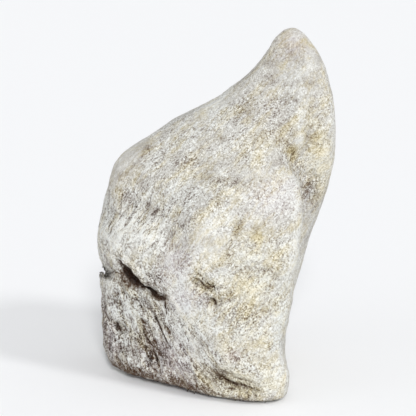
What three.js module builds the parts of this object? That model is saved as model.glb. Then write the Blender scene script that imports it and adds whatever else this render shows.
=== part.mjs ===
// A raw chunk of lepidolite, a fine-grained mica rock, standing on its flat broken foot.
// Units are millimetres and +Z is up. The front faces -Y, and +X is to the right of someone facing the front.
// The chunk is one solid. Its form is a field in millimetres, negative inside the stone and positive outside.
// Broken lumps with flat facets are joined softly, trimmed to the contour, waved, swollen and grooved.
// A ball of triangles is then shrunk onto the place where the field is zero, and sunk into the grooves.

import * as THREE from "three";
import { ImprovedNoise } from "three/addons/math/ImprovedNoise.js";
import { mergeVertices } from "three/addons/utils/BufferGeometryUtils.js";

// Driving dimensions.
const MIDDLE = new THREE.Vector3(-2, 0, 47.5); // the middle of the stone, from which its front is laid out
const FRONT_LIFT = 14; // degrees above the horizon that the layout of the front faces
const FRONT_REACH = 450; // the layout's lines meet this far in front of the middle
const CONTOUR_ROUNDING = 4; // how softly the facets turn over the contour
const JOIN_ROUNDING = 3; // how softly one lump runs into the next
const FOOT_ROUNDING = 2.2; // the worn edge round the flat foot

// The contour of the front, across and up from the middle, clockwise from the peak.
// It passes under the foot, which is cut flat.
const CONTOUR = [
  [23.2, 50.4],
  [27.8, 46.1],
  [32.3, 38.4],
  [35.2, 26.8],
  [34, 11],
  [30.7, 0],
  [27.3, -8.2],
  [23.3, -24.7],
  [20.6, -38.9],
  [23.4, -47],
  [19.4, -55],
  [8, -62],
  [-8, -62],
  [-20, -57],
  [-26.6, -45.5],
  [-28.3, -38],
  [-29.2, -28],
  [-29.4, -20],
  [-29.7, -17.7],
  [-29.2, -17.6],
  [-27.1, -18.5],
  [-27.9, -16.9],
  [-29, -14.8],
  [-29.8, -12],
  [-30.2, -7],
  [-29.1, 0],
  [-28, 6.6],
  [-25.2, 14.2],
  [-17.2, 19.2],
  [-8.7, 24.5],
  [1.7, 29.9],
  [9.6, 35.5],
  [15.4, 41],
  [18.8, 47.4],
];

// The middle of the contour's notch, where the lower block steps out, and how far the notch reaches from it.
const NOTCH = { across: -28.5, up: -17.3, reach: 1.8 };

// A facet is a broken face: the azimuth and lift it faces, in degrees, a point that it passes through,
// and how softly it meets the facets before it. Azimuth 0 faces the front and 90 the right.
// Lift is above the horizon.
const direction = (azimuth, lift) => {
  const a = THREE.MathUtils.degToRad(azimuth);
  const l = THREE.MathUtils.degToRad(lift);
  return new THREE.Vector3(Math.sin(a) * Math.cos(l), -Math.cos(a) * Math.cos(l), Math.sin(l));
};
function facet(azimuth, lift, x, y, z, rounding = 6) {
  const plane = new THREE.Plane();
  plane.setFromNormalAndCoplanarPoint(direction(azimuth, lift), new THREE.Vector3(x, y, z));
  return { plane, rounding };
}

// The lower left block, set back under the body.
const FOOT = [
  facet(-37, -3, -7, -18.8, 0),
  facet(8, 5, 8, -26.5, 0),
  facet(84, -3, 21, -8, 10),
  facet(-94, -4, -38, 0, 16),
  facet(152, -4, 14, 22, 20),
  facet(176, 3, -4, 23, 20),
  facet(-140, 8, -24, 22.5, 30),
  facet(0, 90, 0, 0, 44),
];

const BODY = [
  facet(8, 7, 8, -27.5, 0),
  facet(8, 16, 8, -20, 46),
  facet(-25, -2, 0, -24, 0),
  facet(-42, 8, -17, -14, 40),
  facet(-28, 42, -0.6, 6.5, 79.5),
  facet(-66, 36, -33.5, 0, 70),
  facet(-90, 4, -38, 0, 45),
  facet(-60, -20, -15, -14.5, 30),
  facet(172, 4, 5, 22, 40),
  facet(-138, 10, -22, 20, 50),
  facet(-172, 44, -6, 17, 78),
  facet(88, -3, 23.2, -12, 50, 3),
];

const RIB = [
  facet(20, 22, 20, -8.5, 75, 8),
  facet(10, -10, 26, -6, 63, 5),
  facet(-40, 22, 14, -2, 78, 10),
  facet(150, 12, 26, 22, 66),
  facet(172, -14, 16, 24, 52),
  facet(-150, 38, 12, 18, 90),
  facet(0, -60, 22, 6, 18),
];

const LUMPS = [FOOT, BODY, RIB];

const WAVES = [
  { length: 19, height: 1.1 },
  { length: 8, height: 0.4 },
];

// Swellings and grooves lie along the front. Each stop is across, up, radius, and the height or depth there.
const SWELLINGS = [
  {
    name: "left bulge",
    rounding: 4,
    stops: [
      [-18, -5, 12, 0.6],
      [-23, -11, 8, 1.6],
    ],
  },
  {
    name: "top of the boss",
    rounding: 4,
    stops: [
      [8, -2, 14, 0.6],
      [13, 3, 10, 0.8],
    ],
  },
  {
    name: "lips of the ledge",
    rounding: 2,
    stops: [
      [4.5, -42.5, 4, 0.6],
      [14, -46.5, 4, 0.8],
    ],
  },
];

const GROOVES = [
  {
    name: "cleft under the left bulge",
    rounding: 1,
    stops: [
      [-24.9, -14.5, 0.9, 1.2],
      [-23.8, -16.4, 1.4, 2.4],
      [-22.2, -18.1, 1.9, 3.6],
      [-20.8, -19.5, 1.9, 3.6],
      [-19.2, -21.1, 1.4, 2.6],
      [-17.5, -21.9, 1.1, 1.9],
      [-15.3, -23, 1.3, 2.4],
      [-13.7, -24.4, 1.2, 2.2],
      [-11.8, -24.9, 1, 1.6],
      [-11.6, -29, 0.8, 0.7],
    ],
  },
  {
    name: "hollow between the shoulder and the left bulge",
    rounding: 4,
    stops: [
      [-22, 2, 7, 0.2],
      [-13.1, -1.1, 7, 0.5],
      [-9.8, -9, 6, 0.4],
    ],
  },
  {
    name: "groove between the boss and the rib",
    rounding: 2,
    stops: [
      [20.3, 28.2, 5, 0.6],
      [23, 15.9, 4, 1.4],
      [26.8, 9, 3, 1.2],
      [28.6, 3.6, 3, 1.2],
    ],
  },
  {
    name: "hollow in the middle",
    rounding: 1,
    stops: [
      [-3.6, -19.2, 1.4, 0.8],
      [-1.9, -20.5, 1.6, 1.4],
      [-0.3, -21.9, 1.9, 1.8],
      [1.4, -22.5, 1.6, 1.2],
    ],
  },
  {
    name: "nick under the middle hollow",
    rounding: 1,
    stops: [
      [0.5, -25.2, 1.2, 0.8],
      [1.9, -26, 1.3, 1.3],
      [2.2, -27.6, 1.1, 0.6],
    ],
  },
  {
    name: "crease of the ledge",
    rounding: 1.5,
    stops: [
      [0.9, -43.1, 1.4, 0.6],
      [2.8, -45.4, 1.8, 1.2],
      [4.7, -46.8, 2, 1.5],
      [8.2, -48.3, 2, 1.6],
      [12.9, -49.9, 1.5, 0.9],
    ],
  },
  {
    name: "upper pit in the lower left face",
    rounding: 1.5,
    stops: [
      [-24.7, -23.3, 2.5, 0.8],
      [-24.6, -25.8, 2.5, 0.8],
    ],
  },
  {
    name: "lower pit in the lower left face",
    rounding: 1,
    stops: [
      [-24.9, -31.8, 1.6, 0.8],
      [-24.5, -33, 2, 1.4],
    ],
  },
  {
    name: "long furrow in the lower left face",
    rounding: 1,
    stops: [
      [-14.4, -28.2, 1.2, 0.5],
      [-14, -31.5, 1.4, 1],
      [-12.6, -34.2, 1.4, 1.2],
      [-11.2, -37, 1.3, 1],
    ],
  },
  {
    name: "wide furrow in the lower left face",
    rounding: 1.5,
    stops: [
      [-17.8, -32.3, 1.4, 0.8],
      [-16.4, -34.5, 1.6, 1],
      [-15.3, -37.8, 2.4, 1.2],
      [-14.2, -42.2, 2.6, 1],
    ],
  },
];

// The greater and the lesser of two distances, with the corner between them rounded off.
function smoothMax(a, b, rounding) {
  const overlap = Math.max(rounding - Math.abs(a - b), 0);
  return Math.max(a, b) + overlap ** 2 / (4 * rounding);
}
const smoothMin = (a, b, rounding) => -smoothMax(-a, -b, rounding);

// The point where the layout's lines meet, and where a point of space falls in the layout.
const FRONT = direction(0, FRONT_LIFT);
const FRONT_UP = direction(180, 90 - FRONT_LIFT);
const APEX = MIDDLE.clone().addScaledVector(FRONT, FRONT_REACH);

function toFront(p) {
  const ray = p.clone().sub(APEX);
  const scale = FRONT_REACH / -ray.dot(FRONT);
  return { across: scale * ray.x, up: scale * ray.dot(FRONT_UP) };
}

const contour = new THREE.CatmullRomCurve3(
  CONTOUR.map(([across, up]) => new THREE.Vector3(across, up, 0)),
  true,
  "centripetal",
).getPoints(160);

// Signed distance from the contour of the front.
function contourDistance(p) {
  const { across, up } = toFront(p);
  let nearest = Infinity;
  let inside = false;
  for (let i = 1; i < contour.length; i += 1) {
    const a = contour[i - 1];
    const b = contour[i];
    const dx = b.x - a.x;
    const dy = b.y - a.y;
    const t = THREE.MathUtils.clamp(((across - a.x) * dx + (up - a.y) * dy) / (dx * dx + dy * dy), 0, 1);
    nearest = Math.min(nearest, Math.hypot(across - a.x - t * dx, up - a.y - t * dy));
    if (a.y > up !== b.y > up && across < a.x + ((up - a.y) / dy) * dx) inside = !inside;
  }
  return inside ? -nearest : nearest;
}

const lumpDistance = (lump, p) =>
  lump.reduce((d, { plane, rounding }) => smoothMax(d, plane.distanceToPoint(p), rounding), -Infinity);

const noise = new ImprovedNoise();
const wave = (p, { length, height }) => height * noise.noise(p.x / length, p.y / length, p.z / length);

// The stone before it is swollen and grooved.
function blank(p) {
  const joined = LUMPS.map((lump) => lumpDistance(lump, p)).reduce((a, b) => smoothMin(a, b, JOIN_ROUNDING));
  const trimmed = smoothMax(joined, contourDistance(p), CONTOUR_ROUNDING);
  return WAVES.reduce((sum, w) => sum + wave(p, w), trimmed);
}

function slope(field, p) {
  const step = 0.05;
  const here = field(p);
  const g = new THREE.Vector3(
    field(new THREE.Vector3(p.x + step, p.y, p.z)) - here,
    field(new THREE.Vector3(p.x, p.y + step, p.z)) - here,
    field(new THREE.Vector3(p.x, p.y, p.z + step)) - here,
  ).divideScalar(step);
  return { here, g };
}

// Walks from start along a direction until it meets the field's surface.
function meet(field, start, towards) {
  const p = start.clone();
  for (let step = 0; step < 80; step += 1) {
    const gap = field(p);
    if (gap < 0.01) break;
    p.addScaledVector(towards, 0.8 * gap);
  }
  return p;
}

// A ball on the front that stands out of it by `rise`, or bites into it where `rise` is negative.
function ballOnFront(field, across, up, radius, rise) {
  const aim = MIDDLE.clone().addScaledVector(FRONT_UP, up);
  aim.x += across;
  const towards = aim.clone().sub(APEX).normalize();
  const p = meet(field, aim.addScaledVector(towards, -60), towards);
  const out = slope(field, p).g.normalize();
  const offset = rise > 0 ? rise - radius : rise + radius;
  return { centre: p.addScaledVector(out, offset), radius, out };
}

const ballChain = (field, sign, { rounding, stops }) => ({
  rounding,
  balls: stops.map(([across, up, radius, size]) => ballOnFront(field, across, up, radius, sign * size)),
});

// Distance from a chain of balls joined by tapered rods.
// An open chain keeps its width on its way out of the stone.
function chainDistance(p, balls, open) {
  let nearest = Infinity;
  for (let i = 1; i < balls.length; i += 1) {
    const a = balls[i - 1];
    const b = balls[i];
    const along = new THREE.Line3(a.centre, b.centre);
    const t = along.closestPointToPointParameter(p, true);
    const away = p.clone().sub(along.at(t, new THREE.Vector3()));
    const outwards = THREE.MathUtils.clamp(away.dot(a.out), 0, 6);
    if (open) away.addScaledVector(a.out, -outwards);
    nearest = Math.min(nearest, away.length() - THREE.MathUtils.lerp(a.radius, b.radius, t));
  }
  return nearest;
}

const swellings = SWELLINGS.map((chain) => ballChain(blank, 1, chain));

function swollen(p) {
  const swell = (d, { balls, rounding }) => smoothMin(d, chainDistance(p, balls, false), rounding);
  return swellings.reduce(swell, blank(p));
}

const grooves = GROOVES.map((chain) => ballChain(swollen, -1, chain));
const narrow = grooves.filter(({ rounding }) => rounding < 2);

function grooved(p) {
  const bite = (d, { balls, rounding }) => smoothMax(d, -chainDistance(p, balls, true), rounding);
  return grooves.reduce(bite, swollen(p));
}

// The stone without its grooves, and with them. Both are cut flat at the foot.
const ungrooved = (p) => smoothMax(swollen(p), -p.z, FOOT_ROUNDING);
const stone = (p) => smoothMax(grooved(p), -p.z, FOOT_ROUNDING);

// The skin is a ball of triangles shrunk onto the ungrooved stone, split finer about the grooves
// and sunk into them.
const SKIN_DETAIL = 14;
const HEART = new THREE.Vector3(5, 2, 50);
const REACH = 90;
const WIDE = 2.8; // how far apart the skin's points lie at the back, in millimetres
const MEDIUM = 2.05; // on the front
const CLOSE = 1.1; // in the grooves
const CLOSEST = 0.7; // in the notch
const DEEPEST = 6; // no groove is deeper

// How far apart the skin's points should be at a place.
function spacing(p) {
  if (p.z < 0.1) return 1.3 * WIDE;
  const { across, up } = toFront(p);
  const toNotch = Math.hypot(across - NOTCH.across, up - NOTCH.up) - NOTCH.reach;
  const toGroove = Math.min(...narrow.map(({ balls }) => Math.abs(chainDistance(p, balls, true))));
  const front = THREE.MathUtils.smoothstep(0.3 * p.z - p.y, 0, 25);
  const low = THREE.MathUtils.smoothstep(6 - p.z, 0, 6);
  const plain = THREE.MathUtils.lerp(WIDE, MEDIUM, Math.max(front, low));
  const grooved = THREE.MathUtils.lerp(CLOSE, plain, THREE.MathUtils.smoothstep(toGroove, 0.8, 4));
  return THREE.MathUtils.lerp(CLOSEST, grooved, THREE.MathUtils.smoothstep(toNotch, 0, 3));
}

function settle(p, field) {
  const { here, g } = slope(field, p);
  p.addScaledVector(g, THREE.MathUtils.clamp(-here / Math.max(g.lengthSq(), 0.2), -2, 2));
}

// Moves a point of the ungrooved stone straight in to the bottom or wall of the groove that it lies over.
function sink(p) {
  const bottom = meet(stone, p, slope(ungrooved, p).g.normalize().negate());
  if (bottom.distanceTo(p) < DEEPEST) p.copy(bottom);
}

// Evens the skin out: each point moves to the middle of the triangles round it,
// and back onto the field's surface.
function relax(points, corners, field, rounds) {
  for (let round = 0; round < rounds; round += 1) {
    const pulls = points.map(() => ({ sum: new THREE.Vector3(), weight: 0 }));
    for (let i = 0; i < corners.length; i += 3) {
      const triangle = new THREE.Triangle(points[corners[i]], points[corners[i + 1]], points[corners[i + 2]]);
      const middle = triangle.getMidpoint(new THREE.Vector3());
      const pull = triangle.getArea() / spacing(middle) ** 2;
      for (let k = 0; k < 3; k += 1) {
        pulls[corners[i + k]].sum.addScaledVector(middle, pull);
        pulls[corners[i + k]].weight += pull;
      }
    }
    points.forEach((p, i) => p.copy(pulls[i].sum.divideScalar(pulls[i].weight)));
    points.forEach((p) => settle(p, field));
  }
}

// Halves every edge that is too long for its place, and splits the triangles beside it.
// Returns the new corners.
function refine(points, corners) {
  const count = points.length;
  const halves = new Map();
  const halfway = (a, b) => {
    const key = `${Math.min(a, b)} ${Math.max(a, b)}`;
    if (!halves.has(key)) {
      const middle = points[a].clone().lerp(points[b], 0.5);
      const long = points[a].distanceTo(points[b]) > 1.45 * spacing(middle);
      halves.set(key, long ? points.push(middle) - 1 : null);
    }
    return halves.get(key);
  };
  const finer = [];
  for (let i = 0; i < corners.length; i += 3) {
    const [a, b, c] = corners.slice(i, i + 3);
    const loop = [a, halfway(a, b), b, halfway(b, c), c, halfway(c, a)];
    const rest = [];
    loop.forEach((point, k) => {
      const before = loop[(k + 5) % 6];
      const after = loop[(k + 1) % 6];
      // A corner between two halved edges is cut off.
      if (k % 2 === 0 && before !== null && after !== null) finer.push(before, point, after);
      else if (point !== null) rest.push(point);
    });
    const start = Math.max(0, rest.findIndex((point) => point >= count));
    for (let k = 1; k < rest.length - 1; k += 1) {
      finer.push(rest[start], rest[(start + k) % rest.length], rest[(start + k + 1) % rest.length]);
    }
  }
  return finer;
}

function shrinkWrap() {
  const ball = new THREE.IcosahedronGeometry(1, SKIN_DETAIL);
  ball.deleteAttribute("normal");
  ball.deleteAttribute("uv");
  const skin = mergeVertices(ball, 1e-5);
  const position = skin.getAttribute("position");
  const points = [];
  for (let i = 0; i < position.count; i += 1) {
    const outward = new THREE.Vector3().fromBufferAttribute(position, i).normalize();
    points.push(meet(ungrooved, HEART.clone().addScaledVector(outward, REACH), outward.negate()));
  }
  let corners = Array.from(skin.index.array);
  relax(points, corners, ungrooved, 60);
  for (let pass = 0; pass < 2; pass += 1) {
    corners = refine(points, corners);
    relax(points, corners, ungrooved, 10);
  }
  points.forEach(sink);
  for (let pass = 0; pass < 2; pass += 1) {
    relax(points, corners, stone, 12);
    corners = refine(points, corners);
  }
  relax(points, corners, stone, 12);
  for (let round = 0; round < 3; round += 1) points.forEach((p) => settle(p, stone));
  const geometry = new THREE.BufferGeometry().setFromPoints(points);
  geometry.setIndex(corners);
  const places = geometry.getAttribute("position");
  points.forEach((p, i) => places.setZ(i, Math.abs(p.z) < 0.02 ? 0 : p.z));
  return geometry;
}

const geometry = shrinkWrap();
geometry.computeBoundingBox();
const centre = geometry.boundingBox.getCenter(new THREE.Vector3());
geometry.translate(-centre.x, -centre.y, 0);
const material = new THREE.MeshStandardMaterial({ color: 0xc8c4ba, roughness: 0.75, metalness: 0 });
const chunk = new THREE.Mesh(geometry, material);
chunk.name = "chunk";
const lepidolite = new THREE.Group();
lepidolite.add(chunk);
export default lepidolite;
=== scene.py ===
"""A raw chunk of lepidolite, a fine-grained mica rock, standing on its flat broken foot on a pale table.

The chunk is taken from the frame, refined, roughened and creased into the broken stone that shows,
and dressed in a speckled mica finish with painted glints, painted shade in its cracks, hollows and
underside, and painted light on some edges turned from the lamps. Lengths are metres unless a name says
otherwise.
"""

import math
from collections import namedtuple

import bpy
import numpy as np
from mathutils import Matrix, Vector, noise


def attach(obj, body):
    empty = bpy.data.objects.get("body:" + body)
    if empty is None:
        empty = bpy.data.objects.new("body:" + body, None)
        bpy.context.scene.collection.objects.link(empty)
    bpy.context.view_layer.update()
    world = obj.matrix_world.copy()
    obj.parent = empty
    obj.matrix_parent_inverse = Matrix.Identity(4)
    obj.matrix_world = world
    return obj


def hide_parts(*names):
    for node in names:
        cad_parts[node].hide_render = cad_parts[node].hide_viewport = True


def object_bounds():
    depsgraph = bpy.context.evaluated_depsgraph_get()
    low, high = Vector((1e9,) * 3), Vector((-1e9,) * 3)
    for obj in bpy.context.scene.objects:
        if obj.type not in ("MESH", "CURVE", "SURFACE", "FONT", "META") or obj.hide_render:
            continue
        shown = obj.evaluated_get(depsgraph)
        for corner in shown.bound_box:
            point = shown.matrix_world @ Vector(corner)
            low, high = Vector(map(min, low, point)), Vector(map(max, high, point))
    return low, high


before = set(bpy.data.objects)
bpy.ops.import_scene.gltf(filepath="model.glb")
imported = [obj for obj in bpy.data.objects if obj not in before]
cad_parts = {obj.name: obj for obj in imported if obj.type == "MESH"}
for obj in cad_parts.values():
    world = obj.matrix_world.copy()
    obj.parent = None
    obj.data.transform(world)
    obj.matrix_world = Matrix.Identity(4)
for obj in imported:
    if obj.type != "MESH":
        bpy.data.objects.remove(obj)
cad_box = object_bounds()

MM = 0.001

# The front of the stone is laid out across and up from its middle, in millimetres, seen from the eye.
MIDDLE = Vector((-1.893, -1.1915, 47.5)) * MM
EYE_LIFT = math.radians(14)
EYE_REACH = 450 * MM
FRONT = Vector((0, -math.cos(EYE_LIFT), math.sin(EYE_LIFT)))
FRONT_UP = Vector((0, math.sin(EYE_LIFT), math.cos(EYE_LIFT)))
EYE = MIDDLE + FRONT * EYE_REACH
SENSOR, LENS = 36, 142.1 # millimetres


def linear(red, green, blue):
    """A colour given in ordinary screen values from 0 to 255, as the renderer's linear values."""
    def channel(value):
        share = value / 255
        return share / 12.92 if share <= 0.04045 else ((share + 0.055) / 1.055) ** 2.4
    return channel(red), channel(green), channel(blue), 1.0


# ---------------------------------------------------------------- camera, floor and light

def look_at(thing, target):
    """Turns a camera or a light towards a place."""
    thing.rotation_euler = (target - thing.location).to_track_quat("-Z", "Y").to_euler()


def make_camera():
    """The camera that sees the front of the stone."""
    bpy.ops.object.camera_add(location=EYE)
    camera = bpy.context.object
    camera.name = "camera"
    look_at(camera, MIDDLE)
    camera.data.sensor_width = SENSOR
    camera.data.lens = LENS
    camera.data.clip_start = 10 * MM
    bpy.context.scene.camera = camera


def make_sun(name, azimuth, elevation, spread, strength):
    """A soft, wide light; azimuth 0 comes from the front of the stone and 90 from its right."""
    a = math.radians(azimuth)
    e = math.radians(elevation)
    way = Vector((math.sin(a) * math.cos(e), -math.cos(a) * math.cos(e), math.sin(e)))
    bpy.ops.object.light_add(type="SUN", location=MIDDLE + way)
    light = bpy.context.object
    light.name = name
    look_at(light, MIDDLE)
    light.data.angle = math.radians(spread)
    light.data.energy = strength


def make_world(strength):
    """Soft, nearly white light from all round."""
    world = bpy.data.worlds.new("studio")
    world.use_nodes = True
    sky = world.node_tree.nodes["Background"]
    sky.inputs["Color"].default_value = (0.985, 0.995, 1.0, 1.0)
    sky.inputs["Strength"].default_value = strength
    bpy.context.scene.world = world


def make_floor():
    """The plain pale table under the stone."""
    bpy.ops.mesh.primitive_plane_add(size=6)
    floor = bpy.context.object
    floor.name = "floor"
    material = bpy.data.materials.new("pale table")
    material.use_nodes = True
    shader = material.node_tree.nodes["Principled BSDF"]
    shader.inputs["Base Color"].default_value = (0.9, 0.905, 0.92, 1.0)
    shader.inputs["Roughness"].default_value = 0.9
    shader.inputs["Specular IOR Level"].default_value = 0.1
    floor.data.materials.append(material)


# ---------------------------------------------------------------- modelling helpers

def choose(thing):
    """Selects one thing alone and makes it the active one."""
    bpy.ops.object.select_all(action="DESELECT")
    thing.select_set(True)
    bpy.context.view_layer.objects.active = thing


def apply_modifier(thing, kind, **settings):
    """Adds a modifier of a kind to the thing and applies it."""
    choose(thing)
    modifier = thing.modifiers.new(kind.lower(), kind)
    for name, value in settings.items():
        setattr(modifier, name, value)
    bpy.ops.object.modifier_apply(modifier=modifier.name)


def places(thing):
    """Where each vertex of the thing is."""
    spots = np.empty(len(thing.data.vertices) * 3)
    thing.data.vertices.foreach_get("co", spots)
    return spots.reshape(-1, 3)


def facings(thing):
    """The way each vertex of the thing faces."""
    normals = np.empty(len(thing.data.vertices) * 3)
    thing.data.vertices.foreach_get("normal", normals)
    return normals.reshape(-1, 3)


def edge_ends(thing):
    """The vertices at the first and at the second end of each edge."""
    ends = np.empty(len(thing.data.edges) * 2, int)
    thing.data.edges.foreach_get("vertices", ends)
    return ends.reshape(-1, 2).T


def evened_out(thing, values, rounds):
    """Rows of values for each vertex, such as places, after sharing them out with its neighbours."""
    one, other = edge_ends(thing)
    count = np.bincount(np.append(one, other), minlength=len(values))
    even = values.copy()
    for _ in range(rounds):
        for column in even.T:
            near = np.bincount(one, column[other], len(values))
            near += np.bincount(other, column[one], len(values))
            column[:] = near / count
    return even


def set_group(thing, name, weights):
    """Gives the thing a vertex group of that name with these weights, one for each vertex."""
    group = thing.vertex_groups.get(name) or thing.vertex_groups.new(name=name)
    steps = np.round(np.clip(weights, 0, 1), 3)
    order = np.argsort(steps, kind="stable")
    values, starts = np.unique(steps[order], return_index=True)
    for value, members in zip(values, np.split(order, starts[1:])):
        group.add(members.tolist(), float(value), "REPLACE")


def push(thing, heights, direction="NORMAL"):
    """Moves each vertex along its normal, or along an axis, by its own height in millimetres."""
    for way in (1, -1):
        part = np.clip(way * heights, 0, None)
        if part.max() > 0:
            set_group(thing, "height", part / part.max())
            apply_modifier(thing, "DISPLACE", strength=way * part.max() * MM, mid_level=0,
                           vertex_group="height", direction=direction)


def ripples(spots, size, octaves=3, start=0):
    """Smooth noise of about -1 to 1 at each place, with swells of that size in millimetres."""
    shift = Vector((start, 1.7 * start, -start))
    spots = spots / (size * MM)
    return np.array([noise.fractal(Vector(spot) + shift, 1.0, 2.0, octaves) for spot in spots])


def drawn_out(spots, way, size, stretch, octaves=2, start=0):
    """Ripples drawn out along a way, like the edges of sheets of mica."""
    along = spots @ np.array(way)
    return ripples(spots - np.outer(along * (1 - 1 / stretch), way), size, octaves, start)


# ---------------------------------------------------------------- the stone's form

# A crease runs through points across and up from the middle of the front, in millimetres.
# Each has its half width at the first and at the last point, its depth, and how much soil and painted shade
# it holds.
CREASES = {
    "cleft": (0.4, 1.1, 0.9, 1.1, [(-24.9, -14.2), (-23.2, -15.8), (-21.4, -17.7), (-20, -19.3),
                                   (-18.9, -20.7), (-17.9, -21.7)]),
    "crack beyond the cleft": (0.5, 0.55, 2, 2.2, [(-18.2, -21.8), (-16.6, -21.8), (-15.6, -22.7),
                                                   (-14.6, -23.8), (-13.5, -24.8), (-12, -24.9)]),
    "hanging crack": (0.3, 0.25, 0.8, 1, [(-12, -24.9), (-11.8, -26.3), (-11.6, -28.2),
                                          (-11.5, -29.8)]),
    "line from the notch": (0.3, 0.3, 0.6, 1, [(-27.1, -17.8), (-25.6, -17.9), (-24.2, -17.8)]),
    "curved nick": (0.45, 0.4, 0.7, 1, [(-26, -24.6), (-25.1, -25.7), (-24.2, -26.2)]),
    "short nick": (0.45, 0.4, 0.6, 1, [(-24.9, -22.8), (-24, -23.6)]),
    "left pit": (0.55, 0.55, 1.4, 1, [(-25, -31.9), (-24.6, -32.9), (-24.2, -33.8)]),
    "pit beside it": (0.5, 0.4, 0.8, 1, [(-23.2, -33), (-22.6, -33.8)]),
    "short furrow": (0.35, 0.35, 0.7, 1, [(-16.5, -27.3), (-16.2, -28.6)]),
    "upper long furrow": (0.4, 0.4, 0.9, 1, [(-14.5, -28), (-14.2, -29.8), (-14.6, -30.9),
                                             (-13.1, -32.6)]),
    "long furrow": (0.45, 0.3, 1.2, 0.9, [(-14.4, -31.1), (-12.9, -33.2), (-11.9, -35.3),
                                          (-11, -37.2), (-10.4, -38.4)]),
    "second furrow": (0.4, 0.35, 1, 0.9, [(-11.6, -32.2), (-10.6, -33.8), (-10, -35.1)]),
    "third furrow": (0.4, 0.4, 0.8, 0.7, [(-17.7, -32.3), (-17.1, -33.8), (-16.3, -34.9)]),
    "hollow's first crack": (0.4, 0.35, 0.8, 0.9, [(-17.4, -34.2), (-16.3, -36.4), (-15, -38.3),
                                                   (-14.9, -39.6)]),
    "hollow's second crack": (0.35, 0.3, 0.6, 0.8, [(-15.3, -39.4), (-14.2, -41.2), (-13.7, -43)]),
    "hollow's third crack": (0.35, 0.3, 0.6, 0.8, [(-17.2, -38.8), (-16.3, -41.2), (-15.9, -43.2)]),
    "nick over the hollow": (0.4, 0.3, 0.6, 0.8, [(-18.6, -29.6), (-18, -31.2), (-16.9, -32.2)]),
    "streak under the hollow": (0.3, 0.3, 0.5, 0.7, [(-15.2, -43.6), (-13.2, -45.6)]),
    "wandering nick": (0.35, 0.3, 0.5, 0.6, [(-21.5, -23.6), (-20.3, -25.3), (-20.6, -26.9),
                                             (-19.2, -28.1)]),
    "low furrow": (0.35, 0.35, 0.5, 0.6, [(-12.9, -39.7), (-11.9, -41.4)]),
    "small pit": (0.4, 0.4, 0.5, 0.6, [(-20.4, -36.1), (-20.1, -36.3)]),
    "middle hollow": (0.35, 0.35, 0.9, 1, [(-3.3, -19.4), (-1.9, -20.3), (-1, -21.4), (0.6, -22.3)]),
    "middle hollow's top": (0.3, 0.3, 0.5, 0.8, [(-1.2, -19.8), (0.4, -20.7), (1.7, -21.9),
                                                 (1.9, -23.2)]),
    "middle hollow's right": (0.35, 0.3, 0.5, 0.7, [(-0.7, -20.9), (0.3, -22), (1.7, -23.3)]),
    "middle crack": (0.35, 0.35, 1.2, 1.2, [(0.7, -24.9), (1.6, -25.1), (2.1, -26), (2.1, -27)]),
    "ledge": (0.4, 0.5, 1.1, 1.2, [(2.6, -45.6), (4.7, -46.9), (5.8, -47.7), (8.2, -48.5),
                                   (10.6, -49)]),
    "line above the ledge": (0.3, 0.3, 0.4, 0.5, [(0.5, -42.6), (1.6, -44.2), (3, -45.6)]),
    "ledge's upper line": (0.25, 0.25, 0.5, 0.8, [(7, -46.3), (8.5, -46.8), (9.7, -47.3),
                                                  (11, -47.6), (12.5, -48)]),
    "ledge's end": (0.3, 0.25, 0.8, 0.9, [(10.6, -49), (11.8, -49.3), (12.9, -50.1), (14.1, -50.2)]),
    "under the ledge's lip": (0.4, 0.3, 0.7, 0.8, [(4.9, -49.3), (7, -49.8), (8.7, -49.9)]),
    "first stroke below": (0.35, 0.3, 0.6, 0.8, [(10.4, -50.1), (11.2, -52)]),
    "second stroke below": (0.3, 0.3, 0.6, 0.8, [(12, -50.1), (13.3, -51.8)]),
}

# Places of the front are given as across, up, half length, half width, turn in degrees and strength.
BROKEN = [
    (-19, -33, 16, 10, -70, 1), # the lower left block
    (-15, -20.5, 4, 2.5, -30, 1), # the flaky lip above the crack
    (5, -48, 7, 3, -25, 0.6), # the ledge
    (-1, -22, 5, 4, -40, 0.8), # the middle hollow
    (-10, -42, 10, 6, -35, 0.6), # the lower edge of the block
    (28, 7, 5, 3, 80, 0.6), # the groove by the rib
]
# Lumps and hollows of the front, whose strength is their height in millimetres.
LUMPS = [
    (-24, -24.5, 4, 3, 0, 0.6), # the lower left block's upper corner
    (-20.5, -31.5, 4, 2, -70, 0.7), # and its middle
    (-22.5, -40, 4, 3, -40, 0.7), # and its lower corner
    (-12.8, -32.5, 5, 0.7, -65, 0.4), # between its long furrows
    (7.5, -51.3, 3, 0.9, -10, 0.5), # below the ledge
    (1.8, -44, 2.5, 1.2, -50, 0.6), # the slope down to the ledge
    (-0.2, -20.8, 2, 1.6, -50, 0.7), # the middle hollow is a shallow one
    (-17.7, -18.7, 3, 1, -45, 1.1), # the lip over the cleft
    (-14.8, -32.3, 2, 0.7, -65, 0.6), # between the block's long furrow and its third
]
HOLLOWS = [
    (-16, -38.5, 6, 2.6, -75, 0.35), # the block's dark hollow
    (-28.8, -17.4, 1.7, 0.9, -30, 0.9), # the notch's lower edge
    (-29.8, -18.2, 1.2, 0.9, 0, 0.4), # and its tip
    (-15.4, -29.5, 5, 1.1, -68, 0.7), # along its long furrow
    (-18, -26.5, 4, 1.6, -60, 0.6), # under the lip of the crack
    (-24.3, -33, 1.8, 1.2, -60, 0.6), # about the left pit
]
FIBROUS = [
    (-21, -6, 12, 9, 45, 1.3), # the left bulge
    (-27.8, -5, 9, 2.6, 82, 1), # and its edge
    (-8, 20, 22, 8, 30, 0.35), # the upper slope
]
SHEETED = [
    (-7, -36, 17, 6, -55, 1), # the ridge beside the lower left block
    (6, -44, 10, 5, -20, 0.6), # above and below the ledge
]

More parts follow.
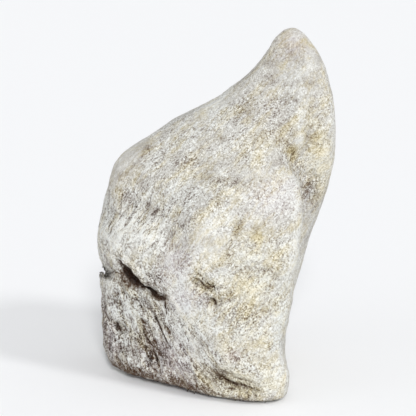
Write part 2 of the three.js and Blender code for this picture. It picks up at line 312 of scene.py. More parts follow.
WORN = [
    (-21.9, 12.3, 9, 3.4, 50, 1), # the rounded shoulder
    (-2.7, 25.5, 14, 1.6, 30, 0.5), # and the edge that rises from it
    (-26, -12, 5, 1.5, 80, 0.5), # the bulge's edge
    (24, 40, 11, 8, 75, 0.75), # the peak
    (9, -6, 12, 10, 0, 0.2), # the boss
    (0.3, -4.5, 6, 2.2, 42, 0.6), # its smooth left side
    (2.4, -10.5, 5, 3, 45, 0.6),
]
SPECKLED = [
    (-18, -2, 14, 11, 30, 0.3), # the bulge and the valley above it
    (12, -22, 10, 14, 0, 0.3), # the boss
    (-28.3, -4, 9, 2.2, 82, 0.9), # the bulge's left edge
]

RISING = Vector((0.64, 0.2, 0.74)).normalized() # the way the fibres run on the bulge, slope and boss
FALLING = Vector((0.66, -0.15, -0.72)).normalized() # and on the ridge and about the ledge
STEEP = Vector((0.42, -0.1, -0.9)).normalized() # and the way the lower left block has split

# The longest edges left on the foot, the back, the front, its broken places and its creases,
# in millimetres.
FOOT, REAR, PLAIN, FINE, FINEST = 2, 1.1, 0.78, 0.56, 0.33
FOOT_ROUND = 2 # how high the broken edge of the foot is worn round, in millimetres

# The notch in the left edge: its tip, and the places about it, without a strength.
NOTCH = (-27.6, -17.4)
NOTCH_REACH = 2.5 # how far about its tip the edges are shortest, in millimetres
NOTCH_OVAL = (-28.9, -17, 2, 1.9, -20) # where the block's upper edge drops away below it
NOTCH_DROP = 1.7 # and by how many millimetres
NOTCH_RUN = (-29, -17.2, 5, 3, -15) # where the notch runs on round the left side
BLOCK_CORNER = (-30.2, -18.2, 1.6, 1.5, 0) # the block's corner below the notch
BLOCK_CORNER_IN = 0.7 # and how far it is worn back to the right
BLOCK_SIDE = (-29.6, -21.6, 1.6, 2.4, 0) # the block's side below the corner
BLOCK_SIDE_OUT = 0.35 # and how far it stands out to the left


def make_stone():
    """A copy of the chunk with its facets smoothed."""
    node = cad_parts["chunk"]
    stone = bpy.data.objects.new("stone", node.data.copy())
    bpy.context.collection.objects.link(stone)
    stone.data.materials.clear()
    choose(stone)
    bpy.ops.object.mode_set(mode="EDIT")
    bpy.ops.mesh.select_all(action="SELECT")
    bpy.ops.mesh.remove_doubles(threshold=1e-6)
    bpy.ops.object.mode_set(mode="OBJECT")
    bpy.ops.mesh.customdata_custom_splitnormals_clear()
    apply_modifier(stone, "SUBSURF", levels=1, render_levels=1)
    choose(stone)
    bpy.ops.object.shade_smooth()
    return stone


def on_front(spots):
    """How far across and up from the middle of the front each place is seen, in millimetres."""
    away = spots - np.array(EYE)
    scale = EYE_REACH / -(away @ np.array(FRONT)) / MM
    return away[:, 0] * scale, (away @ np.array(FRONT_UP)) * scale


def turned(thing):
    """How far the surface about each point faces the eye: 1 straight at it, 0 edge on, -1 away."""
    towards = np.array(EYE) - places(thing)
    towards /= np.linalg.norm(towards, axis=1)[:, None]
    return (evened_out(thing, facings(thing), 20) * towards).sum(1)


# Where each point of the stone is seen on its front, and how far its surface faces the eye.
Layout = namedtuple("Layout", "across up turned front")


def lay_out(stone):
    """Lays the stone's points out on its front."""
    across, up = on_front(places(stone))
    facing = turned(stone)
    return Layout(across, up, facing, np.clip((facing + 0.15) / 0.2, 0, 1))


def patch(layout, middle_across, middle_up, half_length, half_width, turn):
    """A soft oval on the front, 1 in its middle, with its length turned up from across in degrees."""
    a = math.radians(turn)
    x = layout.across - middle_across
    y = layout.up - middle_up
    along = (x * math.cos(a) + y * math.sin(a)) / half_length
    beside = (y * math.cos(a) - x * math.sin(a)) / half_width
    return layout.front * np.exp(-(along ** 2 + beside ** 2))


def patches(layout, ovals, fullness=1.5):
    """The strongest of several soft ovals at each place; a fuller oval is flat in its middle."""
    share = np.zeros(len(layout.front))
    for *oval, strength in ovals:
        share = np.maximum(share, strength * np.clip(fullness * patch(layout, *oval), 0, 1))
    return share


def line_gap(across, up, points):
    """How far each place is from a line through points, and which share of the line is nearest."""
    corners = np.array(points, float)
    lengths = np.hypot(*np.diff(corners, axis=0).T)
    nearest = np.full(len(across), np.inf)
    share = np.zeros(len(across))
    run = 0.0
    for start, end, length in zip(corners[:-1], corners[1:], lengths):
        way = (end - start) / length
        along = np.clip((across - start[0]) * way[0] + (up - start[1]) * way[1], 0, length)
        gap = np.hypot(across - start[0] - along * way[0], up - start[1] - along * way[1])
        share = np.where(gap < nearest, (run + along) / lengths.sum(), share)
        nearest = np.minimum(gap, nearest)
        run += length
    return nearest, share


def longest_edges(stone):
    """The longest edge that each point of the stone may keep, in millimetres."""
    layout = lay_out(stone)
    gap = np.hypot(layout.across - NOTCH[0], layout.up - NOTCH[1]) - NOTCH_REACH
    for first_width, last_width, _, _, points in CREASES.values():
        line = line_gap(layout.across, layout.up, points)[0]
        gap = np.minimum(gap, line - 1.5 * max(first_width, last_width))
    longest = np.where(layout.turned > -0.1, PLAIN, REAR)
    longest = np.where(patches(layout, BROKEN + SHEETED) > 0.4, FINE, longest)
    longest = np.where((gap < 0.3) & (layout.turned > -0.1), FINEST, longest)
    return np.where(places(stone)[:, 2] < 0.01 * MM, FOOT, longest)


def refine(stone):
    """Halves the stone's long edges, over and over, until each is as short as its place asks."""
    bpy.context.tool_settings.mesh_select_mode = (False, True, False)
    for _ in range(5):
        one, other = edge_ends(stone)
        spots = places(stone)
        longest = longest_edges(stone)
        lengths = np.linalg.norm(spots[one] - spots[other], axis=1) / MM
        long = lengths > (longest[one] + longest[other]) / 2
        if not long.any():
            break
        choose(stone)
        bpy.ops.object.mode_set(mode="EDIT")
        bpy.ops.mesh.select_all(action="DESELECT")
        bpy.ops.object.mode_set(mode="OBJECT")
        stone.data.edges.foreach_set("select", long)
        bpy.ops.object.mode_set(mode="EDIT")
        bpy.ops.mesh.subdivide(number_cuts=1, smoothness=0, ngon=False)
        bpy.ops.mesh.select_all(action="SELECT")
        bpy.ops.mesh.quads_convert_to_tris(quad_method="SHORTEST_DIAGONAL")
        bpy.ops.object.mode_set(mode="OBJECT")
    spots = places(stone)
    broad = (longest_edges(stone) > FINEST) & (spots[:, 2] > 1 * MM)
    set_group(stone, "broad", broad.astype(float))
    apply_modifier(stone, "SMOOTH", factor=0.5, iterations=6, vertex_group="broad")


def crease(stone, layout):
    """Presses the creases back into the front, and returns how much soil and painted shade each point gets
    from them.
    """
    spots = places(stone)
    across = layout.across + 0.35 * ripples(spots, 1.6, 3, 30)
    up = layout.up + 0.35 * ripples(spots, 1.6, 3, 31)
    cut = np.zeros(len(spots))
    soil_and_shade = np.zeros(len(spots))
    for first_width, last_width, depth, darkening, points in CREASES.values():
        gap, share = line_gap(across, up, points)
        width = first_width + (last_width - first_width) * share
        fade = 0.55 + 0.45 * np.sin(math.pi * share)
        groove = fade * np.exp(-((gap / width) ** 2))
        cut = np.maximum(cut, depth * groove)
        soil_and_shade = np.maximum(soil_and_shade, darkening * groove)
    push(stone, layout.front * cut, "Y")
    return layout.front * soil_and_shade


def open_notch(stone, layout):
    """Lowers the block's upper edge at the notch, and breaks up the notch where it runs on behind."""
    upwards = np.clip(2 * facings(stone)[:, 2], 0, 1)
    through = layout._replace(front=np.ones(len(upwards)))
    push(stone, -NOTCH_DROP * upwards * patch(through, *NOTCH_OVAL), "Z")
    to_the_right = BLOCK_CORNER_IN * patch(through, *BLOCK_CORNER)
    to_the_right -= BLOCK_SIDE_OUT * patch(through, *BLOCK_SIDE)
    push(stone, to_the_right, "X")
    spots = places(stone)
    behind = np.clip((spots[:, 1] / MM - 4) / 4, 0, 1)
    beyond = behind * np.clip(1.5 * patch(through, *NOTCH_RUN), 0, 1)
    push(stone, beyond * (0.8 * ripples(spots, 3, 3, 40) - 0.1))


def wear_foot(stone):
    """Wears the edge of the foot round, more so on the left, where the wall swells out above it."""
    spots = places(stone) / MM
    height = spots[:, 2]
    radius = FOOT_ROUND * (1 + np.clip((3 - spots[:, 0]) / 14, 0, 1))
    low = np.clip(1 - height / radius, 0, 1)
    rim = np.clip(2 * np.linalg.norm(facings(stone)[:, :2], axis=1), 0, 1)
    inwards = radius * (1 - np.sqrt(1 - low ** 2)) * rim
    outwards = 0.5 * (radius - FOOT_ROUND) * np.exp(-((height / radius - 1.3) ** 2))
    outwards *= np.clip(-2 * facings(stone)[:, 1] - 0.6, 0, 1)
    push(stone, np.where(height > 0.01, outwards, 0) - np.where(height < radius, inwards, 0))


def roughen(stone, layout):
    """Breaks the surface up into swells, chips, pocks, fibres and the edges of mica sheets."""
    spots = places(stone)
    behind = np.clip(-layout.turned / 0.5, 0, 1)
    broken = patches(layout, BROKEN) + 0.5 * behind
    free = np.clip((spots[:, 2] - 0.2 * MM) / (1.5 * MM), 0, 1)
    heights = 0.22 * ripples(spots, 9, 2, 1) # swells
    heights += 0.12 * ripples(spots, 3.2, 3, 5) # chips
    heights += 0.07 * ripples(spots, 1.1, 2, 7) # grain
    splits = np.abs(drawn_out(spots, STEEP, 4.5, 2.5, 3, 11))
    blocks = 1.5 * np.minimum(splits, 0.45) - 0.35 + 0.3 * ripples(spots, 1.8, 3, 12)
    pocks = np.clip(-0.2 - ripples(spots, 2.4, 2, 9), 0, 0.5)
    heights += broken * (blocks - 1.2 * pocks)
    heights += 0.35 * patches(layout, FIBROUS) * drawn_out(spots, RISING, 1.6, 5, 2, 3)
    sheets = np.abs(drawn_out(spots, FALLING, 2.4, 7, 2, 4))
    heights += 0.8 * patches(layout, SHEETED) * (np.minimum(sheets, 0.4) - 0.2)
    heights += patches(layout, LUMPS, 1) - patches(layout, HOLLOWS, 1)
    push(stone, free * (heights - 0.05))


def keep_in_the_box(stone):
    """Moves the few points that stand out of the chunk's box back to it, which also keeps the foot flat."""
    low, high = np.array(cad_box[0]), np.array(cad_box[1])
    spots = np.clip(places(stone), low, high)
    stone.data.vertices.foreach_set("co", spots.ravel())
    stone.data.update()


def sunken(stone, rounds):
    """How far each point lies below the smoothed surface round it, in millimetres."""
    spots = places(stone)
    return ((evened_out(stone, spots, rounds) - spots) * facings(stone)).sum(1) / MM


# ---------------------------------------------------------------- the stone's finish

def keep(stone, name, values):
    """Keeps a value for each vertex on the stone, where its finish can read it."""
    attribute = stone.data.attributes.new(name, "FLOAT", "POINT")
    attribute.data.foreach_set("value", values.astype(np.float32))


# Tones and tints of the front, as places with a strength. Some light tones are painted light on edges
# turned from the lamps, and some dark tones are painted shade on edges, sides, hollows, grooves and the
# underside.
TONES = {
    "light": [
        (-23, -8, 10, 8, 45, 2), # the left bulge
        (-22.5, -14.5, 3.5, 2, -40, 1.6), # over the cleft
        (-26, -3.5, 2.5, 2, 80, 2.2), # the bulge's upper left, painted light where it turns from the lamps
        (-27.5, -8, 9, 3, 85, 2.2), # and its edge, painted light where it turns from the lamps
        (-16, 1.5, 5, 3, 0, 1), # in the valley above it
        (-16.5, -14, 4, 2.5, 0, 0.9), # between the bulge and the crack
        (-26.3, -20, 2.5, 1.5, 0, 1.6), # under the notch, painted light over its shade
        (-24.8, -28.6, 2, 2.2, 0, 0.7), # smooth faces of the block
        (-20.6, -28.4, 2.4, 1.6, -40, 0.7),
        (-22.6, -33, 2.4, 3, 0, 1.3),
        (24, -14.5, 9, 1.2, 80, 1.3), # the strip along the boss's right edge
        (8, 2, 16, 8, -20, 0.6), # the top and middle of the boss
        (1, -9, 8, 5, 60, 0.8),
        (17, -46, 7, 5, 60, 0.7), # the lower right corner
        (19.5, -27, 12, 2, 85, 0.7), # the boss's right edge
        (-5.9, -30.5, 9, 4.6, -65, 3.8), # the ridge, painted light where it faces down and away from the lamps
        (20.5, 5, 4, 3, 80, 0.7), # the boss's upper right
        (22.5, -19, 5, 1.5, 78, 0.9), # and its right edge
        (29.5, -1, 4, 1.5, 75, 0.6), # beside it
        (4.5, -19.5, 3, 2, 0, 0.6), # right of the middle hollow
        (-23, 12.5, 6, 1.8, 50, 0.9), # the worn shoulder
        (-17.4, -14.6, 4, 2.4, -25, 2.2), # over the cleft's right side
        (12.8, -3.5, 2.8, 2, 0, 1.5), # the boss's middle
        (23, 38, 2, 4, 0, 0.5), # the middle of the peak
        (13, -14.2, 5, 2, 0, 1),
        (-15, -10, 4, 2.6, 0, 0.8), # the bulge's lower right
        (-19.5, -31, 5, 2.4, 0, 1), # the middle of the block
        (0.5, -37.5, 5, 3, -40, 1.2), # beside the ridge
        (0, -6.5, 6, 1.6, 40, 1.2), # streaks on the boss's left
        (3, -10.5, 5, 1.6, 42, 1.1),
        (11, -5, 4, 2, 50, 0.8),
        (14.5, -26, 5, 3, 80, 0.6), # the boss's lower right
        (-2, -41, 6, 3, -30, 1.8),
        (9.5, -46.5, 4, 1.2, -20, 1.3), # over the ledge
        (26.5, 13, 2.5, 2, 0, 0.5), # beside the rib
        (-16, -30.5, 2.5, 1.5, -70, 1), # between the furrows
        (-9.5, -19.9, 3, 2.5, 0, 1.6), # right of the crack
        (13, -20.5, 4, 3.5, 0, 0.8), # the boss's right side
        (15, -39, 4, 5, 0, 0.8), # and lower right
        (28.5, 11, 3, 6, 10, 1.1), # the foot of the rib
        (29.6, 24, 1.8, 3, 0, 0.7), # and its middle
        (4, 30, 5, 2, 35, 0.5), # the upper slope
        (-9, -13, 6, 4, 45, 0.5), # above the crack
    ],
    "dark_and_shade": [
        (-17, -33, 12, 7, -70, 0.5), # the lower left block
        (-17, -26, 4, 3, -30, 0.6), # and its upper right
        (-28.5, -34, 13, 1.6, -84, 1.2), # its left edge, painted shade where it turns from the lamps
        (-15.3, -38, 8, 3, -72, 0.9), # its dark hollow: darker rock and painted shade
        (-22, -45.2, 8, 2.6, -27, 1.9), # its lower edge, painted shade on the underside
        (-8, -49.4, 10, 2.5, -14, 1.7),
        (8, -52.5, 9, 1.8, -6, 1.3),
        (3.2, -46.4, 4.4, 2.2, -50, 1.7), # painted shade on the slope down to the ledge
        (7, -49, 6, 1.8, -15, 0.5), # the ledge
        (9, -52, 9, 1.4, -4, 0.9), # painted shade under it
        (-1, -20.8, 4, 2.5, -50, 1), # painted shade in the middle hollow
        (7.5, -28, 4, 4, 0, 0.6), # right of the middle crack
        (-19, -19.5, 3, 1.5, -45, 0.7), # painted shade along the cleft's lip
        (17, -33, 5, 3, 80, 0.4), # the boss's lower right
        (19, 42, 6, 1.6, 65, 0.4), # painted shade along the peak's left side
        (23, 43, 8, 4.5, 70, 0.3),
        (-19.5, 12.6, 7, 0.5, 48, 0.9), # the line along the worn shoulder
        (-16.5, 16.5, 1.3, 1, 60, 0.9), # and the soft blotches beside it
        (-24, 9, 2.2, 1.1, 50, 0.8),
        (-19.5, 12.5, 4, 2.5, 30, 0.3), # painted shade where the shoulder turns away
        (-6.3, -25.3, 2, 1.6, 0, 0.7), # specks over the ridge
        (1, -25.5, 3, 1.5, 0, 0.7), # about the middle crack
        (7, -25, 3, 2, 0, 0.5),
        (-2.5, -36.5, 4, 1.5, -40, 0.6), # across the ridge
        (-6.5, -4.5, 6, 0.8, 38, 0.8), # streaks on the boss's left
        (8.4, -5.2, 4.5, 1, 62, 1.1), # and in its middle
        (5.8, -12, 3.4, 0.9, 68, 0.9),
        (3.4, -15.6, 2.6, 1, 40, 0.6),
        (-18, 7.5, 4, 2.5, 0, 0.5),
        (-26.3, -27, 5, 2, 80, 0.5), # painted shade on the block's left side, which turns from the lamps
        (-24.5, -42, 5, 3, -40, 0.9), # its lower left corner
        (-12.5, -40.5, 6, 3, -50, 1), # the foot of the ridge
        (-27, -36, 9, 1.6, -80, 0.9), # painted shade on the block's left side, which turns from the lamps
        (-13.6, -19, 3, 2, -40, 1), # over the crack
        (-3.5, -1, 4, 3, 0, 0.5), # the boss's left side
        (9, -30, 7, 3.4, 0, 1), # the boss's lower part
        (7.5, -40.5, 2.2, 1.8, 0, 0.7), # the lilac spot over the ledge
        (28, 6, 4, 2, 80, 0.8), # painted shade in the groove beside the boss's right edge
        (22.6, 16.5, 3.4, 1.4, -65, 1.2), # painted shade in the head of the groove by the rib
        (16, 19.5, 3, 2.4, 0, 0.3), # left of it
        (31.5, 23, 6, 1.5, 95, 0.2), # the rib's right side
        (16.5, 35, 3, 2, 0, 1), # the upper slope's right end
        (23, 29.6, 2.6, 2, 0, 0.8), # below the peak
        (28.5, 35, 3, 2.4, 0, 0.7),
        (13.2, 24, 2.4, 2, 0, 0.5),
        (19.7, 13.2, 2.4, 1.6, 0, 0.6), # over the boss's right side
        (-20, -8.5, 2, 1.6, 0, 0.6), # the bulge's middle
        (3.3, -36.2, 2.4, 2, 0, 0.5), # over the ledge
        (30.5, 31, 4, 2, 80, 0.3), # the rib's top
        (-24, 3.5, 4, 2, -20, 0.7), # the valley above the bulge
        (-15, -1, 5, 1.6, -20, 0.8),
        (-10.3, -8.5, 3, 1.2, -75, 0.8),
        (-9.8, -36, 4, 1.6, -60, 0.4), # the ridge's upper side
        (19.7, 18.6, 4, 1.6, 0, 0.8), # the slope above the boss
        (23.5, 19.5, 1.6, 2, 0, 0.5),
        (13.2, 2.4, 2.6, 1.6, 0, 0.6), # soft spots on the boss
        (3, 2.2, 3, 2, 0, 0.7),
        (-19.5, -25.2, 5, 1.5, -5, 0.8), # below the cleft and the crack
        (-28, -13.5, 3.5, 1.2, -65, 0.8), # painted shade along the bulge's lower left edge
        (-5, 2.2, 3, 2, 0, 0.7),
        (17.5, 26.5, 2.4, 4, 0, 0.3), # under the peak
        (-6.6, -14.2, 3, 2.4, 0, 0.6), # the boss's lower left
        (0, -25.5, 4, 2, -10, 0.8), # under the middle hollow
        (6.6, -25.2, 3, 2, 0, 1),
        (19.7, -25.2, 2, 4, 0, 0.6), # the boss's right side
        (15.5, -36.2, 3, 3, 0, 0.4),
        (-24.7, 9, 2.5, 1.5, 50, 0.6), # soft spots on the worn shoulder
        (-5.5, 13.3, 3.5, 1.5, 5, 0.7),
        (10, 26.8, 2.6, 4, 0, 0.8),
        (5.5, 7.4, 6.8, 1.7, -5, 1.1), # the specks over the boss
        (10, 1, 3, 5, 0, 0.4),
        (19, -16, 8, 3, 80, 0.5), # painted shade beside the boss's right edge
        (29.5, 2.5, 3.5, 1.6, 80, 0.9), # the shaded corner beside it
        (-27, 8, 5, 3, 60, 0.5), # the shoulder's left end
    ],
    "gold": [
        (12, -23, 20, 9, 80, 0.6), # the boss's right side
        (13.7, -8.2, 2, 1.6, 0, 1.2), # a yellow spot in its middle
        (7.4, -7.5, 7, 1.4, 63, 0.6), # the brown streak beside it
        (17, 17, 10, 5, 30, 0.45), # above the boss
        (30, 17, 11, 4, 95, 0.8), # the rib
        (17, -48, 5, 5, 0, 0.6), # the lower right corner
        (7, -48, 10, 4, -15, 1), # the ledge
        (-1, -21, 5, 3, -50, 1), # the middle hollow
        (4, 7, 9, 3, -5, 0.4), # the specks over the boss
        (22.6, 16, 4, 2, -65, 1), # the groove by the rib
        (-22, -20, 5, 2.5, -45, 0.3), # below the cleft
    ],
    "lilac": [
        (18, 3, 8, 6, 20, 0.8), # the boss's top
        (-9, -16, 7, 5, 60, 0.9),
        (-6, -25, 6, 4, 0, 1),
        (23, 45, 5, 5, 0, 0.6), # the peak's tip
        (7, -40.5, 2.5, 2, 0, 1),
        (26, 5, 8, 3, 80, 0.4),
        (-10, -42, 10, 7, -30, 0.8), # the lower left block
        (-27, -36, 12, 3, -80, 0.6),
    ],
    "cool": [
        (-8, 24, 22, 9, 30, 0.7), # the upper slope
        (-22, -26, 8, 6, 60, 0.5),
        (-4, 3, 9, 6, 0, 0.6), # the boss's middle
        (-3, -28, 6, 5, 0, 0.5),
        (20, -27, 14, 2.5, 85, 0.6), # the boss's right edge
        (23, 36, 10, 5, 80, 0.8), # the peak
    ],
}

# Where soil has settled on the front, and where shade is painted into its cleft, cracks, hollows and
# grooves and along its underside, as places with a strength.
SOILED_AND_SHADED = [
    (-20.8, -18.9, 3.4, 1.5, -46, 1.6), # painted shade under the bulge's lip in the cleft, with soil
    (-22, -19.2, 3.6, 2.1, -48, 0.95), # and on its lower side
    (-23.6, -19.8, 4, 2.4, -46, 0.55), # and fading out to the lower left of it
    (-15.3, -21.4, 2.2, 1, -30, 0.5), # on the flaky lip above the crack
    (-15.4, -38.2, 4.5, 1.9, -66, 0.55), # in the block's dark hollow
    (-29, -33, 11, 0.6, -87, 0.25), # painted shade down the left edge, which turns from the lamps
    (-27.5, -42, 4, 1, -60, 0.5),
    (-19.5, -45.6, 9, 2, -20, 0.8), # painted shade along the underside
    (-7, -49, 9, 2, -14, 0.75),
    (8, -53, 8, 1, -5, 0.5),
    (4, -46.6, 3, 1, -45, 0.5), # down to the ledge
    (9, -48.6, 5, 0.8, -18, 0.6), # along the ledge
    (-0.3, -20.8, 2.4, 1.1, -50, 0.45), # in the middle hollow
    (28.3, 5.5, 3, 1.5, 75, 0.5), # beside the boss's right edge
]


def paint(stone, layout, creased):
    """Keeps where the stone is sunken, where it has soil and painted shade, where it is broken, and how it
    is toned, with painted light and shade among the tones.
    """
    spots = places(stone)
    back = 1 - layout.front
    block, block_edge = BROKEN[:1], BROKEN[4:5]
    in_block = patches(layout, block)
    soil_and_shade = np.maximum(creased, patches(layout, SOILED_AND_SHADED))
    # Painted shade: points that lie below the surface round them, broadly and within the lower left block,
    # are painted darker.
    soil_and_shade = soil_and_shade + np.clip(sunken(stone, 200) / 2.5 - 0.15, 0, 0.6)
    soil_and_shade = soil_and_shade + 0.2 * in_block * np.clip(sunken(stone, 25) / 0.3, 0, 1)
    # How far each point is sunken or stands out; the finish paints it as shade in hollows and light on
    # rises.
    keep(stone, "sunken", np.clip(sunken(stone, 12) / 0.2, -1, 1))
    keep(stone, "soil_and_shade", soil_and_shade)
    rough = patches(layout, BROKEN + SHEETED + SPECKLED)
    keep(stone, "broken", rough + 0.5 * back - patches(layout, WORN))
    keep(stone, "falling", patches(layout, SHEETED + block_edge))
    keep(stone, "steep", in_block)
    keep(stone, "fibrous", patches(layout, FIBROUS + SHEETED + block) + 0.3 * back)
    for number, (kind, ovals) in enumerate(TONES.items()):
        elsewhere = np.clip(0.3 + 1.2 * ripples(spots, 22, 2, 20 + number), 0, 1)
        keep(stone, kind, patches(layout, ovals, 1) + 0.7 * back * elsewhere)


def add_node(tree, kind, inputs=None, **settings):
    """Adds a shader node; each input is either linked from a socket or set to a value."""
    node = tree.nodes.new(kind)
    for name, value in settings.items():
        setattr(node, name, value)
    for name, value in (inputs or {}).items():
        if isinstance(value, bpy.types.NodeSocket):
            tree.links.new(value, node.inputs[name])
        else:
            node.inputs[name].default_value = value
    return node


def attribute(tree, name):
    """One of the values kept on the stone."""
    return add_node(tree, "ShaderNodeAttribute", attribute_name=name).outputs["Fac"]


def maths(tree, operation, first, second=0.0):
    """One step of arithmetic on values."""
    return add_node(tree, "ShaderNodeMath", {0: first, 1: second}, operation=operation).outputs[0]


def total(tree, *terms):
    """Adds up terms, each a value and what it is multiplied by."""
    result = 0.0
    for value, factor in terms:
        inputs = {0: value, 1: factor, 2: result}
        result = add_node(tree, "ShaderNodeMath", inputs, operation="MULTIPLY_ADD").outputs[0]
    return result


def remap(tree, value, low, high, new_low=0.0, new_high=1.0):
    """Moves a value from one range to another and keeps it in there."""
    settings = {"Value": value, "From Min": low, "From Max": high, "To Min": new_low, "To Max": new_high}
    return add_node(tree, "ShaderNodeMapRange", settings).outputs["Result"]


def spread(tree, value, reach=0.2):
    """Turns a cloud's values, which lie about a half, into values from -1 to 1."""
    return remap(tree, value, 0.5 - reach, 0.5 + reach, -1.0, 1.0)


def blend(tree, amount, first, second):
    """Blends two colours."""
    return add_node(tree, "ShaderNodeMix", {0: amount, 6: first, 7: second}, data_type="RGBA").outputs[2]


def blend_values(tree, amount, first, second):
    """Blends two values."""
    return add_node(tree, "ShaderNodeMix", {0: amount, 2: first, 3: second}).outputs[0]


def cloud(tree, place, scale, detail=2.0, roughness=0.5, distortion=0.0):
    """Smooth noise, from 0 to 1."""
    inputs = {"Vector": place, "Scale": scale, "Detail": detail, "Roughness": roughness,
              "Distortion": distortion}
    return add_node(tree, "ShaderNodeTexNoise", inputs).outputs["Fac"]


def stretched(tree, place, way, stretch):
    """The place in a frame that lies along a way and is drawn out along it."""
    turn = way.to_track_quat("X", "Z").to_euler()
    inputs = {"Vector": place, "Rotation": turn, "Scale": (stretch, 1, 1)}
    return add_node(tree, "ShaderNodeMapping", inputs, vector_type="TEXTURE").outputs[0]


def colour_ramp(tree, amount, steps):
    """The colour that a row of colours has at an amount from 0 to 1."""
    ramp = add_node(tree, "ShaderNodeValToRGB", {0: amount})
    elements = ramp.color_ramp.elements
    for _ in steps[2:]:
        elements.new(0.5)
    for element, (position, colour) in zip(elements, steps):
        element.position = position
        element.color = colour
    return ramp.outputs["Color"]


# The colours of clean and of stained rock, from its darkest specks to its palest flakes.
CLEAN = [(0.0, linear(58, 45, 38)), (0.25, linear(124, 113, 105)), (0.5, linear(180, 176, 169)),
         (0.75, linear(213, 212, 207)), (1.0, linear(234, 235, 231))]
STAINED = [(0.0, linear(54, 39, 25)), (0.25, linear(122, 107, 80)), (0.5, linear(176, 165, 136)),
           (0.75, linear(212, 204, 181)), (1.0, linear(236, 230, 214))]
# The colours of soil and of painted shade in the cracks, hollows and underside, pale and deep.
SOIL_AND_SHADE = linear(88, 66, 48)
DEEP_SOIL_AND_SHADE = linear(54, 29, 12)
# The tints: the kept value that brings each, how ragged its edge is, what it multiplies the colour by,
# and 1 where it spares pale places.
TINTS = [
    ("gold", 0.35, (1.0, 0.978, 0.88, 1), 0),
    ("cool", 0.3, (0.96, 0.99, 1.02, 1), 0),
    ("lilac", 0.35, (0.96, 0.89, 1.02, 1), 1),
]
MEAN_TONE = 0.495 # the clean rock's tone, from 0 for the darkest speck to 1 for the palest flake
VEIN_WANDER = 0.3 # how far the veins wander
BUMP_DEPTH = 0.5 # the depth of the finest relief, in millimetres


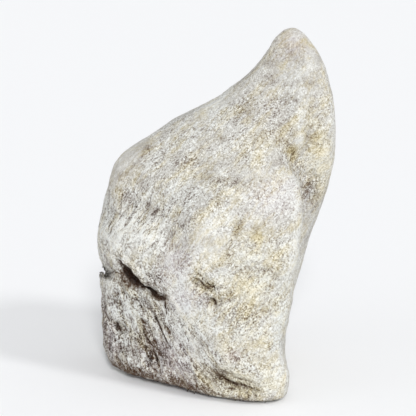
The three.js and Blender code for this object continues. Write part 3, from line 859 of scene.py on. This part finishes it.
def mica_rock():
    """Speckled mica rock with drawn-out veins and painted glints, stained in places, with soil and painted
    shade in its cracks and hollows.
    """
    material = bpy.data.materials.new("mica rock")
    material.use_nodes = True
    tree = material.node_tree
    shader = tree.nodes["Principled BSDF"]
    shader.inputs["Specular IOR Level"].default_value = 0.15
    place = add_node(tree, "ShaderNodeTexCoord").outputs["Object"]
    rising = stretched(tree, place, RISING, 2.4)
    combed = stretched(tree, place, RISING, 5)
    falling = stretched(tree, place, FALLING, 6)
    steep = stretched(tree, place, STEEP, 3.5)
    broken = attribute(tree, "broken")

    def veined(scale, detail, roughness, rising=rising):
        """A cloud drawn out the way the stone has split at each place: rising, falling or steep."""
        rises, falls, drops = (cloud(tree, along, scale, detail, roughness, VEIN_WANDER)
                               for along in (rising, falling, steep))
        rises_or_falls = blend_values(tree, attribute(tree, "falling"), rises, falls)
        return blend_values(tree, attribute(tree, "steep"), rises_or_falls, drops)

    mottle = spread(tree, cloud(tree, place, 120, 3, 0.6))
    swathes = spread(tree, veined(190, 3, 0.6))
    grain = spread(tree, cloud(tree, place, 2500, 1, 0.5, 0.8))
    flakes = spread(tree, cloud(tree, place, 620, 3, 0.7, 0.4))
    strokes = spread(tree, veined(850, 2, 0.6), 0.16)
    strokes = remap(tree, maths(tree, "ABSOLUTE", strokes), 0.0, 0.5)
    fibres = spread(tree, veined(430, 2, 0.6, combed))
    edges = spread(tree, veined(640, 3, 0.6, combed), 0.16)
    edges = remap(tree, maths(tree, "ABSOLUTE", edges), 0.0, 0.3, 1.0, 0.0)
    # Painted glints: tiny cells painted paler, standing in for the glitter of mica flakes, and raised a
    # little in the relief.
    glints = add_node(tree, "ShaderNodeTexVoronoi", {"Vector": place, "Scale": 1900}).outputs["Color"]
    glints = remap(tree, glints, 0.74, 0.78)

    contrast = maths(tree, "MULTIPLY", remap(tree, broken, -1, 1, 0.35, 1.6),
                     remap(tree, cloud(tree, place, 170, 2), 0.35, 0.65, 0.7, 1.3))
    texture = total(tree, (grain, 0.25), (strokes, 0.2), (flakes, 0.07),
                    (maths(tree, "MULTIPLY", fibres, attribute(tree, "fibrous")), 0.16),
                    (maths(tree, "MULTIPLY", edges, attribute(tree, "fibrous")), -0.27), (glints, 0.18))
    # The tone is painted darker where the surface is sunken and lighter where it stands out, as painted
    # shade and light; the light and dark tones carry more painted light and shade.
    tone = total(tree, (mottle, 0.055), (swathes, 0.065),
                 (spread(tree, cloud(tree, place, 45, 2)), 0.04),
                 (maths(tree, "MULTIPLY", texture, contrast), 1.0), (attribute(tree, "sunken"), -0.1),
                 (attribute(tree, "light"), 0.13), (attribute(tree, "dark_and_shade"), -0.25))
    tone = maths(tree, "ADD", tone, MEAN_TONE)

    streaks = veined(280, 5, 0.75)
    gold = attribute(tree, "gold")
    stain = total(tree, (spread(tree, streaks), 0.8), (grain, -0.1), (gold, 0.5))
    stain = remap(tree, stain, -0.1, 0.75)
    colour = blend(tree, stain, colour_ramp(tree, tone, CLEAN), colour_ramp(tree, tone, STAINED))

    ragged = spread(tree, cloud(tree, place, 420, 4, 0.8))
    pale = remap(tree, tone, 0.45, 0.8, 0.0, 0.75)
    for kind, scatter, tint, spared in TINTS:
        share = remap(tree, total(tree, (attribute(tree, kind), 1.0), (ragged, scatter)), 0.1, 1.2)
        share = total(tree, (share, 1.0), (maths(tree, "MULTIPLY", share, pale), -spared))
        tinted = add_node(tree, "ShaderNodeMix", {0: 1.0, 6: colour, 7: tint},
                          data_type="RGBA", blend_type="MULTIPLY").outputs[2]
        colour = blend(tree, share, colour, tinted)
    # Soil and painted shade darken the cracks, hollows and underside.
    soil_and_shade = total(tree, (attribute(tree, "soil_and_shade"), 1.0), (ragged, 0.35), (strokes, -0.2), (grain, -0.2))
    soil_and_shade_colour = blend(tree, remap(tree, soil_and_shade, 0.75, 1.25), SOIL_AND_SHADE, DEEP_SOIL_AND_SHADE)
    colour = blend(tree, remap(tree, soil_and_shade, 0.2, 0.9, 0.0, 0.92), colour, soil_and_shade_colour)
    tree.links.new(colour, shader.inputs["Base Color"])

    tree.links.new(remap(tree, grain, -0.8, 0.8, 0.8, 0.5), shader.inputs["Roughness"])
    relief = maths(tree, "MULTIPLY", texture, remap(tree, broken, -1, 1, 0.3, 1.5))
    inputs = {"Height": relief, "Strength": 0.7, "Distance": BUMP_DEPTH * MM}
    bump = add_node(tree, "ShaderNodeBump", inputs)
    tree.links.new(bump.outputs["Normal"], shader.inputs["Normal"])
    return material


# ---------------------------------------------------------------- the scene

make_camera()
make_world(0.585)
make_sun("key light", azimuth=5, elevation=32, spread=12, strength=1.6)
make_sun("side light", azimuth=58, elevation=42, spread=9, strength=0.78)
make_sun("low fill", azimuth=-70, elevation=10, spread=40, strength=0.4)
make_floor()
stone = make_stone()
refine(stone)
wear_foot(stone)
layout = lay_out(stone)
roughen(stone, layout)
open_notch(stone, layout)
creased = crease(stone, layout)
keep_in_the_box(stone)
paint(stone, layout, creased)
stone.data.materials.append(mica_rock())
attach(stone, "root")
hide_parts("chunk")
bpy.context.scene.view_settings.view_transform = "Standard"
